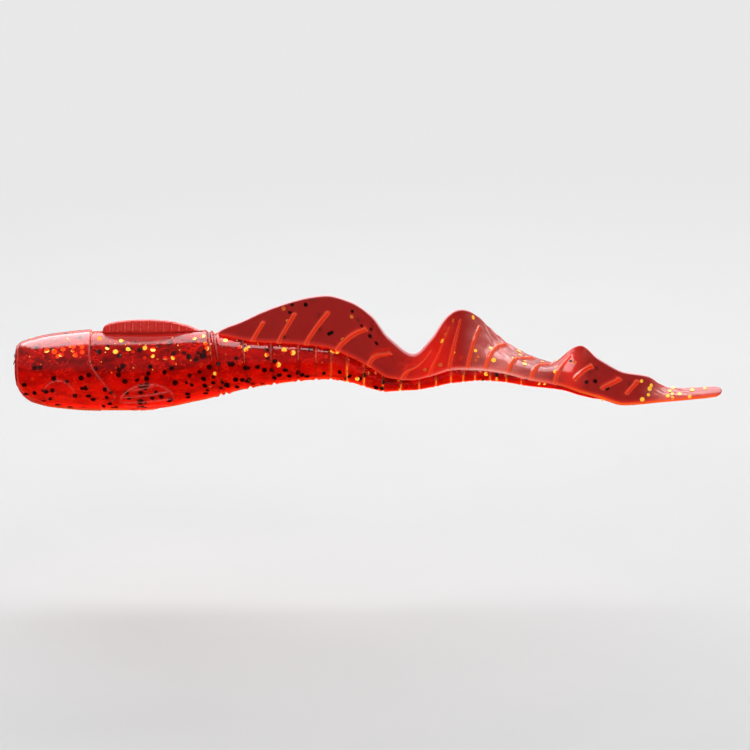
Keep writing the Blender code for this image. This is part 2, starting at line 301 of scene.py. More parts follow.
def chain_of(joints):
    """The flex joints from front to rear."""
    chain = [j for j in joints if j["child"].startswith("section")]
    return sorted(chain, key=lambda j: j["pos_m"][0])


def lengths_of(chain):
    """Each length of skin: its number, its X range, the bodies it joins and where its bend ends.

    The first length rides on one body. The others span the joint between their front body and their
    rear one.
    """
    hinges = [j["pos_m"][0] / MM for j in chain]
    lead_in = hinges[0] - (hinges[1] - hinges[0]) / 2
    middles = [(a + b) / 2 for a, b in zip(hinges[:-1], hinges[1:])]
    starts = [lead_in] + middles
    ends = middles + [TIP_END]
    blend_ends = middles + [(hinges[-1] + TIP_END) / 2]
    lengths = [{"number": 0, "from": -1.0, "to": lead_in, "body": chain[0]["parent"]}]
    for n, joint in enumerate(chain):
        lengths.append({
            "number": n + 1, "from": starts[n], "to": ends[n], "bend_end": blend_ends[n],
            "bodies": (joint["parent"], joint["child"]),
        })
    return lengths


def attach(item, length):
    """Rides the item on its body, or else bakes its place into its points."""
    if "body" in length:
        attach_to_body(item, length["body"])
    else:
        if length["number"] in BENT_FROM_REAR:
            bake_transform(item)
        else:
            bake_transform(item)


def rows_in(xs, length):
    """The slice of the sorted row positions that lies in a length, its cut planes included."""
    low = int(np.searchsorted(xs, length["from"] - 1e-6))
    high = int(np.searchsorted(xs, length["to"] + 1e-6, side="right"))
    return slice(low, high)


def row_positions(start, end, lengths, spacing):
    """Row positions with even spacing inside each length and a row exactly at every cut."""
    cuts = [length["to"] for length in lengths if start < length["to"] < end]
    edges = [start] + cuts + [end]
    rows = [np.array([start])]
    for a, b in zip(edges[:-1], edges[1:]):
        count = max(2, int(math.ceil((b - a) / spacing)))
        rows.append(np.linspace(a, b, count + 1)[1:])
    return np.concatenate(rows)


# ---------------------------------------------------------------- the body's skin and core

def gill_line(z):
    """X of the gill cover's edge at a height: upright above, slanting back and hooked below."""
    down = GILL_BEND_Z - z
    slant = (down + np.sqrt(down**2 + 1.0)) / 2
    hook = np.clip(down - GILL_DROP, 0, 2)
    return GILL_X + GILL_SLANT * np.minimum(slant, GILL_DROP) - 0.7 * hook**2


def groove_at(g, a):
    """X of a ring groove at an angle from the top: the front grooves run back under the belly."""
    return g + max(0.0, 51.0 - g) * 0.13 * (1 - np.cos(a)) / 2


def pad_relief(x, a, pad):
    """A side pad: raised a little, a fine ridge round its upper edge, rays if it has any; painted
    highlight and shade.
    """
    middle, half_length, angle, half_angle, rays = pad
    across = (np.degrees(np.minimum(a, 2 * math.pi - a)) - angle) / half_angle
    along = (x - middle) / half_length
    r = np.hypot(along, across)
    inside = step(-r, -0.96, -0.84)
    ridge = bell(r - 0.95, 0.035) * (0.35 + 0.65 * step(-across, -0.1, 0.5))
    lift = 0.20 * step(-r, -1.0, -0.90) + 0.20 * ridge
    # Painted highlight along the ridge.
    edge = 0.7 * ridge
    # Painted shade in the line round the pad.
    groove = 0.5 * bell(r - 1.03, 0.03)
    if rays:
        fan = across * (1.0 - 0.25 * along)
        lines = np.clip(np.cos(fan * math.pi * rays), 0, 1) ** 3
        lift = lift + (0.18 * lines - 0.12 * bell(along + 0.3, 0.02)) * inside
        # Painted highlights on the rays.
        edge = np.maximum(edge, (0.10 + 0.55 * lines) * inside)
        groove = np.maximum(groove, 0.4 * bell(along + 0.3, 0.03) * inside)
    else:
        lift = lift + 0.10 * ripple(x * 3, a * 4, 5, 1.0) * inside
        # A faint painted highlight over the whole pad.
        edge = np.maximum(edge, 0.10 * inside)
    return lift, groove, edge


def skin_relief(x, a, z):
    """How far the skin stands out, its painted groove shade, edge highlights, glow lines and fin
    reflection, and shine.
    """
    high = spine_high(x)
    lift = 0.04 * ripple(x, a, SEED, 2.5) * np.clip(high / 4, 0, 1)
    groove = np.zeros_like(lift)
    edge = np.zeros_like(lift)
    # Painted glow along the lower rim of the belly, for light shining through from below.
    narrow = 0.08 * step(x, 44.0, 60.0)
    painted_glow_mask = step(-np.cos(a) - narrow, 0.78, 0.90) * step(x, 2.0, 6.0)
    for g in GROOVES:
        size = float(spine_high(g))
        width = 0.15 + 0.022 * size
        away = x - groove_at(g, a) - 0.08 * size / 6 * np.sin(3 * a + g)
        dip = bell(away, width)
        lips = bell(np.abs(away) - 2.2 * width, 1.2 * width)
        lift += (0.07 + 0.055 * size) * (0.4 * lips - dip)
        # Painted shade darkens each groove; in the tail the grooves get painted glow instead.
        pale = float(step(g, 52.0, 60.0))
        groove = np.maximum(groove, dip * (1 - 0.85 * pale))
        painted_glow_mask = np.maximum(painted_glow_mask, pale * dip)
    behind = x - gill_line(z)
    fade = step(z, -5.4, -4.4)
    proud = 0.34 * step(-behind, -0.07, 0.07) * np.exp(-np.abs(behind) / 5)
    lift += (proud - 0.16 * bell(behind - 0.22, 0.15)) * (0.25 + 0.75 * fade)
    upper = step(z, GILL_BEND_Z - 3.0, GILL_BEND_Z)
    # Painted highlight along the gill cover's edge.
    edge = np.maximum(edge, bell(behind + 0.05, 0.13) * (0.2 + 0.45 * fade + 0.25 * upper))
    # Painted shade in the line behind the gill cover.
    groove = np.maximum(groove, 0.7 * bell(behind - 0.3, 0.15) * fade)
    # Painted highlight round the rim of the nose.
    edge = np.maximum(edge, 0.6 * bell(x - 0.8, 0.13))
    for pad in PADS:
        pad_lift, pad_groove, pad_highlight = pad_relief(x, a, pad)
        lift += pad_lift
        groove = np.maximum(groove, pad_groove)
        edge = np.maximum(edge, pad_highlight)
    # Painted reflection of the fin on the back: darker red and less shine under it.
    degrees = np.degrees(np.minimum(a, 2 * math.pi - a))
    painted_fin_reflection = step(14.0 * fin_height(x) - degrees, -2.0, 3.0)
    painted_fin_reflection = painted_fin_reflection * step(x, FIN_START - 0.4, FIN_START + 0.4)
    painted_fin_reflection = painted_fin_reflection * step(-x, -FIN_END - 0.1, -FIN_END + 0.9)
    shine = 1.0 + 0.6 * step(-behind, -0.1, 0.1) - 0.85 * painted_fin_reflection
    return lift, groove, edge, painted_glow_mask, painted_fin_reflection, shine


def with_nose(values, nose):
    """The body's rows, after one value for each of the nose face's rows."""
    return np.concatenate([np.full(len(NOSE_SHARES), nose), values])


def clear_share(up):
    """How thick the clear layer is at a height, as a share of its depth at the belly."""
    return 0.30 + 0.70 * step(-up, -0.65, 0.25)


def body_grid(xs, around, inset=0.0, relief=True):
    """Points of the whole body's surface: the nose face's rows, then one row for each X."""
    a = np.linspace(0, 2 * math.pi, around, endpoint=False)[None, :]
    shares = np.concatenate([NOSE_SHARES, np.ones(len(xs))])[:, None]
    x = with_nose(xs, SPINE_START)[:, None] + 0 * a
    shrink = 1 - inset * clear_share(np.cos(a))
    high = spine_high(x) * shrink
    wide = spine_wide(x) * shrink
    z = spine_z(x) + high * np.cos(a)
    lift, groove, edge, painted_glow_mask, painted_fin_reflection, shine = skin_relief(x, a, z) if relief else (0 * x,) * 6
    lift = lift * np.where(shares < 1, 0, step(x, 0.35, 2.5))
    y = (wide + lift) * shares * np.sin(a)
    z = spine_z(x) + (high + lift) * shares * np.cos(a)
    face = shares + 0 * x
    lumps = 0.10 * ripple(y * 2.2, a * 0, 3, 1.0) + 0.08 * ripple(z * 2.0, a * 0, 8, 1.0)
    x = x - np.where(face < 1, NOSE_DOME * (1 - face**2) + lumps * (1 - face**4), 0)
    x = x + inset * 4.0 * np.where(face < 1, 1, np.exp(-(x - SPINE_START) / 3))
    # thin lowers up, so the thin tail gets more of the core's painted glow.
    thin = step(x, 42.0, 62.0)
    fields = {
        "up": np.cos(a) * shares - 0.20 * thin, "thin": thin, "groove": groove, "edge": edge,
        "painted_glow_mask": painted_glow_mask, "painted_fin_reflection": painted_fin_reflection, "shine": shine, "face": step(-face, -1.0, -0.93),
    }
    return np.stack([x, y, z], -1), fields


def build_lengths(prefix, grid, row_x, lengths, looks, nodes, inward=False):
    """Cuts a wrapped surface into its lengths, each standing for the CAD nodes it covers.

    grid is the surface's points and fields. looks is its material, then a slot name that is not used.
    inward is true if the faces have to be turned to point outward.
    """
    points, fields = grid
    columns = points.shape[1]
    normals = grid_normals(points) * (-1 if inward else 1)
    for length in lengths:
        part = rows_in(row_x, length)
        rows = part.stop - part.start
        if rows < 2:
            continue
        faces = grid_faces(rows, columns).tolist() + end_caps(part, len(row_x), columns)
        if inward:
            faces = [face[::-1] for face in faces]
        kept = {field: values[part].ravel() for field, values in fields.items()}
        name = f"{prefix}_{length['number']:02d}"
        places, facing = points[part].reshape(-1, 3), normals[part].reshape(-1, 3)
        item = make_mesh(name, places, faces, facing, kept)
        item.data.materials.append(looks[0])
        covered = [node for node in nodes if covers(node, length)]
        if covered:
            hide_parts(*covered)
        attach(item, length)


def covers(node, length):
    """True if the middle of a CAD node lies in this length of skin."""
    low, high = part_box(node)
    middle = (low.x + high.x) / 2 / MM
    return length["from"] <= middle < length["to"]


def make_skin(lengths, material):
    """The skin, drawn in to a point where it ends inside the ribbon."""
    xs = row_positions(SPINE_START, SPINE_END, lengths, SKIN_SPACING)
    points, fields = body_grid(xs, SKIN_AROUND)
    end = step(-xs, -SPINE_END, -SPINE_END + END_TAPER)
    taper = with_nose(END_SHARE + (1 - END_SHARE) * end, 1.0)[:, None]
    centre = with_nose(spine_z(xs), 0.0)[:, None]
    points[..., 1] *= taper
    points[..., 2] = np.where(taper < 1, centre + (points[..., 2] - centre) * taper, points[..., 2])
    nodes = [n for n in frame["nodes"] if not n.startswith(("ribbon", "tail_tip", "dorsal"))]
    looks = (material, "body_plastic")
    build_lengths("body_skin", (points, fields), with_nose(xs, -0.5), lengths, looks, nodes)


def make_core(lengths, material):
    """The coloured depth of the plastic, under the clear layer."""
    xs = row_positions(SPINE_START, SPINE_END - CORE_SHORT, lengths, CORE_SPACING)
    points, fields = body_grid(xs, CORE_AROUND, inset=CORE_INSET, relief=False)
    grid = (points, {"up": fields["up"]})
    build_lengths("body_core", grid, with_nose(xs, -0.5), lengths, (material, "body_plastic"), [])


# ---------------------------------------------------------------- the ribbon

def ribbon_root(x):
    """Where the ribbon leaves the spine: sunk a little into it, or its own lower edge."""
    return spine_z(x) + spine_high(x) * 0.97


def ribbon_middle(x, v):
    """Points of the ribbon's middle surface and its lean. v is 0 at the root, 1 at the edge."""
    width = ribbon_width(x)
    lean = np.radians(ribbon_lean(x + ribbon_skew(x) * (1 - np.clip(v, 0, 1))))
    lean = np.where(np.abs(lean) < 1e-4, 1e-4, lean)
    curl = np.clip(v, 0, RIBBON_CURL)
    here = lean * curl / RIBBON_CURL
    bend = width * RIBBON_CURL / lean
    flat = width * (v - curl)
    straight = np.where(v < 0, 0, flat)
    y = bend * (1 - np.cos(here)) + straight * np.sin(lean)
    z = bend * np.sin(here) + straight * np.cos(lean) + np.where(v < 0, width * v, 0)
    return y, ribbon_root(x) + z, here


def ray_relief(x, v, stretch):
    """How far the moulded rays stand out of the ribbon, where they are and their painted edge
    highlights.
    """
    width = ribbon_width(x)
    lift = np.zeros(np.broadcast(x, v).shape)
    mark = np.zeros_like(lift)
    ray_edge_highlight = np.zeros_like(lift)
    for root_x, end_x, v0, v1 in RAYS:
        t = np.clip((v - v0) / (v1 - v0), 0, 1)
        ray_x = root_x + (end_x - root_x) * (t**1.25 if v0 < 0.1 else t)
        reach = (v1 - v0) * float(ribbon_width((root_x + end_x) / 2))
        slant = reach / math.hypot(reach, end_x - root_x)
        past = np.maximum(np.maximum(v - v1, v0 - v), 0) * width
        away = np.hypot((x - ray_x) * np.minimum(stretch, 1.6) * slant, past)
        radius = RAY_RADIUS * (0.9 + 0.2 * t)
        rise = np.clip(1 - (away / (1.2 * radius)) ** 2, 0, 1)
        lift = np.maximum(lift, 0.38 * rise)
        mark = np.maximum(mark, step(-away, -radius * 1.15, -radius * 0.85))
        ray_edge_highlight = np.maximum(ray_edge_highlight, bell(away - 0.9 * radius, 0.14))
    return lift, mark, ray_edge_highlight


def ribbon_grid(xs):
    """Both faces of the ribbon as one closed strip round its section at each X."""
    v_side = np.concatenate([
        -0.06 + 0.06 * np.linspace(0, 1, 4)[:-1], np.linspace(0, 0.93, 62)[:-1],
        1 - 0.07 * np.cos(np.linspace(0, math.pi / 2, 8)),
    ])
    loop_v, side = both_sides(v_side)
    x = xs[:, None] + 0 * loop_v[None, :]
    tip = np.sqrt(np.clip(1 - ((xs - (TIP_END - TIP_ROUND)) / TIP_ROUND) ** 2, 0, 1))
    tip = np.where(xs < TIP_END - TIP_ROUND, 1.0, np.maximum(tip, 0.04))[:, None]
    v = 0.5 + (loop_v[None, :] - 0.5) * tip
    y, z, lean = ribbon_middle(x, v)
    mid = np.stack([x, y, z], -1)
    run = np.gradient(mid, axis=0) / np.gradient(xs)[:, None, None]
    stretch = np.linalg.norm(run, axis=-1)
    width = ribbon_width(x)
    rays, mark, ray_edge_highlight = ray_relief(x, v, stretch)
    root_flare = np.clip(0.15 * spine_high(x), 0, 0.30) * bell(np.clip(v, 0, 1) * width, 0.5)
    bead = 0.10 * bell((1 - v) * width, 0.45)
    low_bead = 0.12 * bell(v * width, 0.45) * step(x, 103.0, 106.0)
    half = RIBBON_HALF * (1.15 - 0.3 * v) + bead + low_bead + root_flare
    half = half * (0.55 + 0.45 * np.clip(width / 4, 0, 1)) + rays
    edge = np.clip((1 - loop_v[None, :]) * width / 0.5, 0, 1)
    foot = np.clip((loop_v[None, :] + 0.06) * width / 0.5, 0, 1)
    half = half * np.sqrt(1 - (1 - edge) ** 2) * np.sqrt(1 - (1 - foot) ** 2) * np.sqrt(tip)
    half = half * np.minimum(1.0 + 0.35 * (stretch - 1), 1.5)
    wave = 0.05 * ripple(x, v * 3, 21, 1.6)
    crumple = bell(x - 87.5, 5.5) + 0.6 * step(x, 111.0, 116.0) * step(-x, -124.0, -118.0)
    wave = wave + 0.26 * crumple * ripple(x, v * 7, 4, 0.42) * step(v, 0.05, 0.3)
    y = y + (side * half + wave) * np.cos(lean)
    z = z - (side * half + wave) * np.sin(lean)
    # Masks for painted light: highlights on the rim, foot and ray edges, sheen on a flank and the
    # tip, glow on flanks and hem.
    fields = {
        "ray": mark,
        "rim": bell((1 - v) * width, 0.17),
        "root": bell(np.clip(v, 0, 1) * width, 0.45),
        "tail": step(x, 111.5, 116.8),
        "pale": bell(x - 87.0, 7.0) * step(x, 79.5, 83.0),
        "painted_warm_glow": bell(x - 75.0, 4.5) + bell(x - 99.5, 2.2),
        "foot": bell(v * width, 0.22) * bell(x - 84.0, 9.0),
        "painted_hem_glow": bell(v * width, 0.24) * step(x, 95.0, 104.0),
        "ray_edge_highlight": ray_edge_highlight,
    }
    return np.stack([x, y, z], -1), fields


def make_ribbon(lengths, material):
    """The twisted ribbon down to the end of the tail tip."""
    xs = row_positions(RIBBON_START, TIP_END, lengths, RIBBON_SPACING)
    nodes = [n for n in frame["nodes"] if n.startswith(("ribbon", "tail_tip"))]
    looks = (material, "ribbon_plastic")
    build_lengths("ribbon", ribbon_grid(xs), xs, lengths, looks, nodes, inward=True)


# ---------------------------------------------------------------- the dorsal fin

def make_dorsal_fin(material):
    """A low lens-shaped fin with upright ray plates, its foot sunk into the back."""
    us = np.linspace(0, 1, FIN_COLUMNS)
    v_side = np.concatenate([
        np.linspace(0, 0.9, 22)[:-1], 1 - 0.1 * np.cos(np.linspace(0, math.pi / 2, 6)),
    ])
    loop_v, side = both_sides(v_side)
    x = FIN_START + (FIN_END - FIN_START) * us[:, None] + 0 * loop_v[None, :]
    v = loop_v[None, :] + 0 * x
    foot = spine_z(x) + spine_high(x) - FIN_SUNK
    height = fin_height(x) + FIN_SUNK
    pitch = (FIN_END - FIN_START) / FIN_RAYS
    from_line = np.abs((x - FIN_START) / pitch - np.round((x - FIN_START) / pitch)) * pitch
    upright = step(v, 0.30, 0.42) * step(-v, -0.97, -0.86)
    line = bell(from_line, 0.09) * upright
    plate = step(from_line, 0.10, 0.30) * upright
    rim = bell((1 - v) * height, 0.12)
    seam = bell(v * height - 0.66, 0.13)
    half = FIN_HALF + FIN_FOOT * (1 - v) ** 1.4
    half = half + 0.10 * line + 0.14 * plate + 0.10 * rim - 0.14 * seam
    end = np.sqrt(np.clip(us * (1 - us) * 26, 0, 1))[:, None]
    edge = np.clip((1 - v) * height / 0.35, 0, 1)
    base = np.clip(v * height / 0.3, 0, 1)
    half = half * np.sqrt(1 - (1 - edge) ** 2) * np.sqrt(1 - (1 - base) ** 2) * (0.1 + 0.9 * end)
    points = np.stack([x, side * half, foot + height * v], -1)
    normals = -grid_normals(points)
    faces = grid_faces(FIN_COLUMNS, len(loop_v)).tolist()
    faces += end_caps(slice(0, FIN_COLUMNS), FIN_COLUMNS, len(loop_v))
    faces = [face[::-1] for face in faces]
    fields = {"ray": line.ravel(), "rim": rim.ravel(), "seam": seam.ravel()}
    places, facing = points.reshape(-1, 3), normals.reshape(-1, 3)
    item = make_mesh("dorsal_fin_skin", places, faces, facing, fields)
    item.data.materials.append(material)
    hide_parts("dorsal_fin")
    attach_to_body(item, "fin")


# ---------------------------------------------------------------- glitter

def flake_points(centre, normal, draw, size):
    """A thin six-sided flake lying across the normal."""
    n = Vector(normal).normalized()
    side = n.orthogonal().normalized()
    up = n.cross(side)
    turn = draw.uniform(0, math.pi)
    ring = []
    for k in range(6):
        angle = turn + k * math.pi / 3
        ring.append(side * math.cos(angle) * size / 2 + up * math.sin(angle) * size / 2)
    top = [Vector(centre) + r + n * FLAKE_HALF for r in ring]
    low = [Vector(centre) + r - n * FLAKE_HALF for r in ring]
    return [tuple(p) for p in top + low]


FLAKE_SIDES = [(k, k + 6, (k + 1) % 6 + 6, (k + 1) % 6) for k in range(6)]
FLAKE_FACES = [(0, 1, 2, 3, 4, 5), (11, 10, 9, 8, 7, 6)] + FLAKE_SIDES


def scatter_body(draw, count, near, far, x0, x1, share_at, scale=1.0):
    """Flakes near to far millimetres deep in the skin. share_at(up) thins them by height."""
    found = []
    while len(found) < count:
        x = draw.uniform(x0, x1)
        high = float(spine_high(x))
        a = draw.uniform(0, 2 * math.pi)
        if draw.uniform() > high / 7.3 or draw.uniform() > share_at(math.cos(a)):
            continue
        if FIN_START < x < FIN_END and math.cos(a) > UNDER_FIN:
            continue
        depth = draw.uniform(near, far) * min(1.0, high / 5)
        depth = depth * float(clear_share(math.cos(a))) if depth > 0 else depth
        y = (float(spine_wide(x)) - depth) * math.sin(a)
        z = float(spine_z(x)) + (high - depth) * math.cos(a)
        normal = Vector((0, math.sin(a), math.cos(a))) + Vector(draw.normal(0, 0.22, 3))
        size = scale * FLAKE * min(1.0, 0.5 + high / 4) * draw.uniform(0.7, 1.05)
        found.append(((x, y, z), normal, size))
    return found


def scatter_nose(draw, count):
    """Flakes in the surface of the nose face."""
    found = []
    for _ in range(count):
        share, a = math.sqrt(draw.uniform(0.0, 0.8)), draw.uniform(0, 2 * math.pi)
        x = SPINE_START - NOSE_DOME * (1 - share**2) - 0.06
        y = float(spine_wide(SPINE_START)) * share * math.sin(a)
        z = float(spine_z(SPINE_START) + spine_high(SPINE_START) * share * math.cos(a))
        normal = Vector((-1, 0, 0)) + Vector(draw.normal(0, 0.15, 3))
        found.append(((x, y, z), normal, FLAKE * draw.uniform(0.6, 0.9)))
    return found


def scatter_ribbon(draw, count, x0, x1):
    """Flakes on the ribbon's two faces."""
    found = []
    while len(found) < count:
        x, v = draw.uniform(x0, x1), draw.uniform(0.12, 0.93)
        width = float(ribbon_width(x))
        if draw.uniform() > width / 11:
            continue
        y, z, lean = (float(k) for k in ribbon_middle(np.float64(x), np.float64(v)))
        ahead = [float(k) for k in ribbon_middle(np.float64(x + 0.2), np.float64(v))[:2]]
        along = Vector((0.2, ahead[0] - y, ahead[1] - z)).normalized()
        across = Vector((0, math.sin(lean), math.cos(lean)))
        normal = across.cross(along).normalized()
        side = 1 if draw.uniform() < 0.5 else -1
        offset = (RIBBON_HALF * (1.15 - 0.3 * v) + 0.03) * side
        place = Vector((x, y, z)) + normal * offset
        found.append((tuple(place), normal, FLAKE * draw.uniform(0.6, 0.9)))
    return found


def low_down(up):
    """Flakes mostly in the lower half, fewer right under the belly."""
    return 0.95 - 0.8 * max(0.0, up) - 0.6 * float(up < -0.8)


def along_shoulder(up):
    """Flakes near the band of shine."""
    return float(bell(up - 0.73, 0.2))


def high_up(up):
    """Flakes on the back."""
    return max(0.0, up)


def evenly(up):
    """Flakes all round."""
    return 0.7


def scatter_all(draw):
    """Groups of flakes, each with the number of its kind. Their order is the order of the draws."""
    black, gold, copper = 0, 1, 2
    return (
        (black, scatter_body(draw, 285, 0.10, 0.5, 1.2, 68, low_down)),
        (black, scatter_body(draw, 5, 0.10, 0.3, 72, 98, evenly)),
        (black, scatter_ribbon(draw, 16, 42, 66)),
        (black, scatter_ribbon(draw, 12, 98, 114)),
        (gold, scatter_body(draw, 28, -0.04, 0.0, 3, 14, along_shoulder)),
        (gold, scatter_body(draw, 36, -0.04, 0.0, 14, 60, along_shoulder)),
        (gold, scatter_body(draw, 26, -0.04, 0.0, 34, 106, evenly)),
        (gold, scatter_body(draw, 110, -0.03, 0.0, 1.5, 50, high_up, 0.22)),
        (gold, scatter_ribbon(draw, 34, 76, 100)),
        (gold, scatter_ribbon(draw, 22, 112, 125.5)),
        (copper, scatter_ribbon(draw, 22, 42, 104)),
        (copper, scatter_body(draw, 110, 0.10, 0.55, 1.5, 104, evenly, 0.9)),
        (copper, scatter_body(draw, 160, 0.05, 0.5, 1.5, 90, evenly, 0.4)),
        (black, scatter_nose(draw, 8)),
        (gold, scatter_nose(draw, 4)),
    )


def make_glitter(lengths, kinds_of_flake):
    """The flakes, gathered by the length of the worm they sit in, in their kinds' materials."""
    draw = np.random.default_rng(SEED)
    groups = scatter_all(draw)
    for length in lengths:
        points, faces, kinds = [], [], []
        for kind, flakes in groups:
            for centre, normal, size in flakes:
                if not length["from"] <= centre[0] < length["to"]:
                    continue
                base = len(points)
                points += flake_points(centre, normal, draw, size)
                faces += [tuple(base + k for k in face) for face in FLAKE_FACES]
                kinds += [kind] * len(FLAKE_FACES)
        if not points:
            continue
        item = make_mesh(f"glitter_{length['number']:02d}", np.array(points), faces)
        item.data.shade_flat()
        for material in kinds_of_flake:
            item.data.materials.append(material)
        item.data.polygons.foreach_set("material_index", kinds)
        attach(item, length)


# ---------------------------------------------------------------- materials

class Nodes:
    """Short calls for building one material's node tree."""

    def __init__(self, name):
        self.material = bpy.data.materials.new(name)
        self.material.use_nodes = True
        self.tree = self.material.node_tree
        self.tree.nodes.clear()

    def add(self, kind, **settings):
        """A new node."""
        node = self.tree.nodes.new(kind)
        for key, value in settings.items():
            setattr(node, key, value)
        return node

    def feed(self, socket, value):
        """Links a socket to another, or gives it a plain value or colour."""
        if isinstance(value, bpy.types.NodeSocket):
            self.tree.links.new(value, socket)
        elif isinstance(value, (tuple, list)):
            socket.default_value = (*value, 1.0) if len(value) == 3 else value
        else:
            socket.default_value = value

    def field(self, name):
        """A named number kept on the mesh's points."""
        return self.add("ShaderNodeAttribute", attribute_name=name).outputs["Fac"]

    def math(self, operation, a, b=0.0):
        node = self.add("ShaderNodeMath", operation=operation)
        self.feed(node.inputs[0], a)
        self.feed(node.inputs[1], b)
        return node.outputs[0]

    def mix(self, share, a, b):
        node = self.add("ShaderNodeMix", data_type="RGBA")
        self.feed(node.inputs["Factor"], share)
        self.feed(node.inputs["A"], a)
        self.feed(node.inputs["B"], b)
        return node.outputs["Result"]

    def ramp(self, value, stops):
        node = self.add("ShaderNodeValToRGB")
        self.feed(node.inputs["Fac"], value)
        ramp = node.color_ramp
        while len(ramp.elements) < len(stops):
            ramp.elements.new(0.5)
        for element, (place, colour) in zip(ramp.elements, stops):
            element.position = place
            element.color = (*colour, 1.0)
        return node.outputs["Color"]

    def noise(self, scale, detail=2.0, stretch=(1.0, 1.0, 1.0)):
        """Noise in the worm's own axes. scale is in lumps to the metre."""
        place = self.add("ShaderNodeTexCoord").outputs["Object"]
        mapping = self.add("ShaderNodeMapping")
        self.feed(mapping.inputs["Vector"], place)
        mapping.inputs["Scale"].default_value = stretch
        node = self.add("ShaderNodeTexNoise")
        self.feed(node.inputs["Vector"], mapping.outputs["Vector"])
        node.inputs["Scale"].default_value = scale
        node.inputs["Detail"].default_value = detail
        return node.outputs["Fac"]

    def bump(self, height, strength, distance):
        node = self.add("ShaderNodeBump")
        self.feed(node.inputs["Height"], height)
        node.inputs["Strength"].default_value = strength
        node.inputs["Distance"].default_value = distance
        return node.outputs["Normal"]

    def shader(self, kind, **inputs):
        node = self.add(kind)
        for key, value in inputs.items():
            self.feed(node.inputs[key.replace("_", " ")], value)
        return node.outputs[0]

    def mix_shader(self, share, a, b):
        node = self.add("ShaderNodeMixShader")
        self.feed(node.inputs[0], share)
        self.feed(node.inputs[1], a)
        self.feed(node.inputs[2], b)
        return node.outputs[0]

    def sum_shader(self, a, b):
        node = self.add("ShaderNodeAddShader")
        self.feed(node.inputs[0], a)
        self.feed(node.inputs[1], b)
        return node.outputs[0]

    def done(self, surface):
        output = self.add("ShaderNodeOutputMaterial")
        self.tree.links.new(surface, output.inputs["Surface"])
        return self.material


def clear_coat(n, inside, normal, roughness, shine=1.0):
    """The wet shine of soft plastic over whatever is inside, on outward faces only."""
    fresnel = n.add("ShaderNodeFresnel")
    fresnel.inputs["IOR"].default_value = 1.46
    n.feed(fresnel.inputs["Normal"], normal)
    outward = n.math("SUBTRACT", 1.0, n.add("ShaderNodeNewGeometry").outputs["Backfacing"])
    share = n.math("MULTIPLY", n.math("MINIMUM", fresnel.outputs[0], 0.20), outward)
    share = n.math("MULTIPLY", share, shine)
    pinkish = (1.0, 0.90, 0.93)
    gloss = n.shader("ShaderNodeBsdfGlossy", Color=pinkish, Roughness=roughness, Normal=normal)
    return n.mix_shader(share, inside, gloss)


def skin_material():
    """The outer millimetre: clear red with painted shade in the grooves and painted pale edge
    highlights.
    """
    n = Nodes("red_skin")
    lumps = n.noise(700, 2.0)
    grain = n.noise(4200, 2.0)
    normal = n.bump(n.math("ADD", lumps, n.math("MULTIPLY", grain, 0.35)), 0.11, 0.0001)
    groove, edge = n.field("groove"), n.field("edge")
    painted_glow_mask, thin = n.field("painted_glow_mask"), n.field("thin")
    # Painted shade: the grooves let through darker red and are hazier.
    tint = n.mix(n.math("MULTIPLY", groove, 0.6), (1.0, 0.22, 0.15), (0.60, 0.04, 0.02))
    clear = n.shader("ShaderNodeBsdfTransparent", Color=tint)
    colour = n.mix(n.noise(260, 2.0), (0.55, 0.008, 0.003), (0.85, 0.02, 0.006))
    # Painted glow: orange-red along the lower rim, more orange in the thin tail.
    colour = n.mix(painted_glow_mask, colour, n.mix(thin, (1.0, 0.11, 0.014), (1.0, 0.27, 0.025)))
    # Painted reflection of the fin: darker red on the back under it.
    colour = n.mix(n.field("painted_fin_reflection"), colour, (0.60, 0.018, 0.012))
    # Painted highlight: pale pink on the moulded edges.
    colour = n.mix(edge, colour, (1.0, 0.30, 0.25))
    haze = n.shader("ShaderNodeBsdfDiffuse", Color=colour, Normal=normal)
    # Painted glow: the edges and the lower rim give off light of their own.
    painted_glow_strength = n.math("ADD", 0.40, n.math("MULTIPLY", thin, 0.60))
    lit = n.math("ADD", n.math("MULTIPLY", edge, 0.45), n.math("MULTIPLY", painted_glow_mask, painted_glow_strength))
    glow = n.shader("ShaderNodeEmission", Color=colour, Strength=lit)
    share = n.math("ADD", 0.04, n.math("MULTIPLY", groove, 0.30))
    share = n.math("MAXIMUM", share, n.math("MULTIPLY", edge, 0.60))
    share = n.math("MAXIMUM", share, n.math("MULTIPLY", painted_glow_mask, 0.80))
    share = n.math("MAXIMUM", share, n.math("MULTIPLY", n.field("painted_fin_reflection"), 0.45))
    share = n.math("MAXIMUM", share, n.math("MULTIPLY", n.field("face"), 0.75))
    inside = n.mix_shader(share, clear, n.sum_shader(haze, glow))
    return n.done(clear_coat(n, inside, normal, 0.10, n.field("shine")))


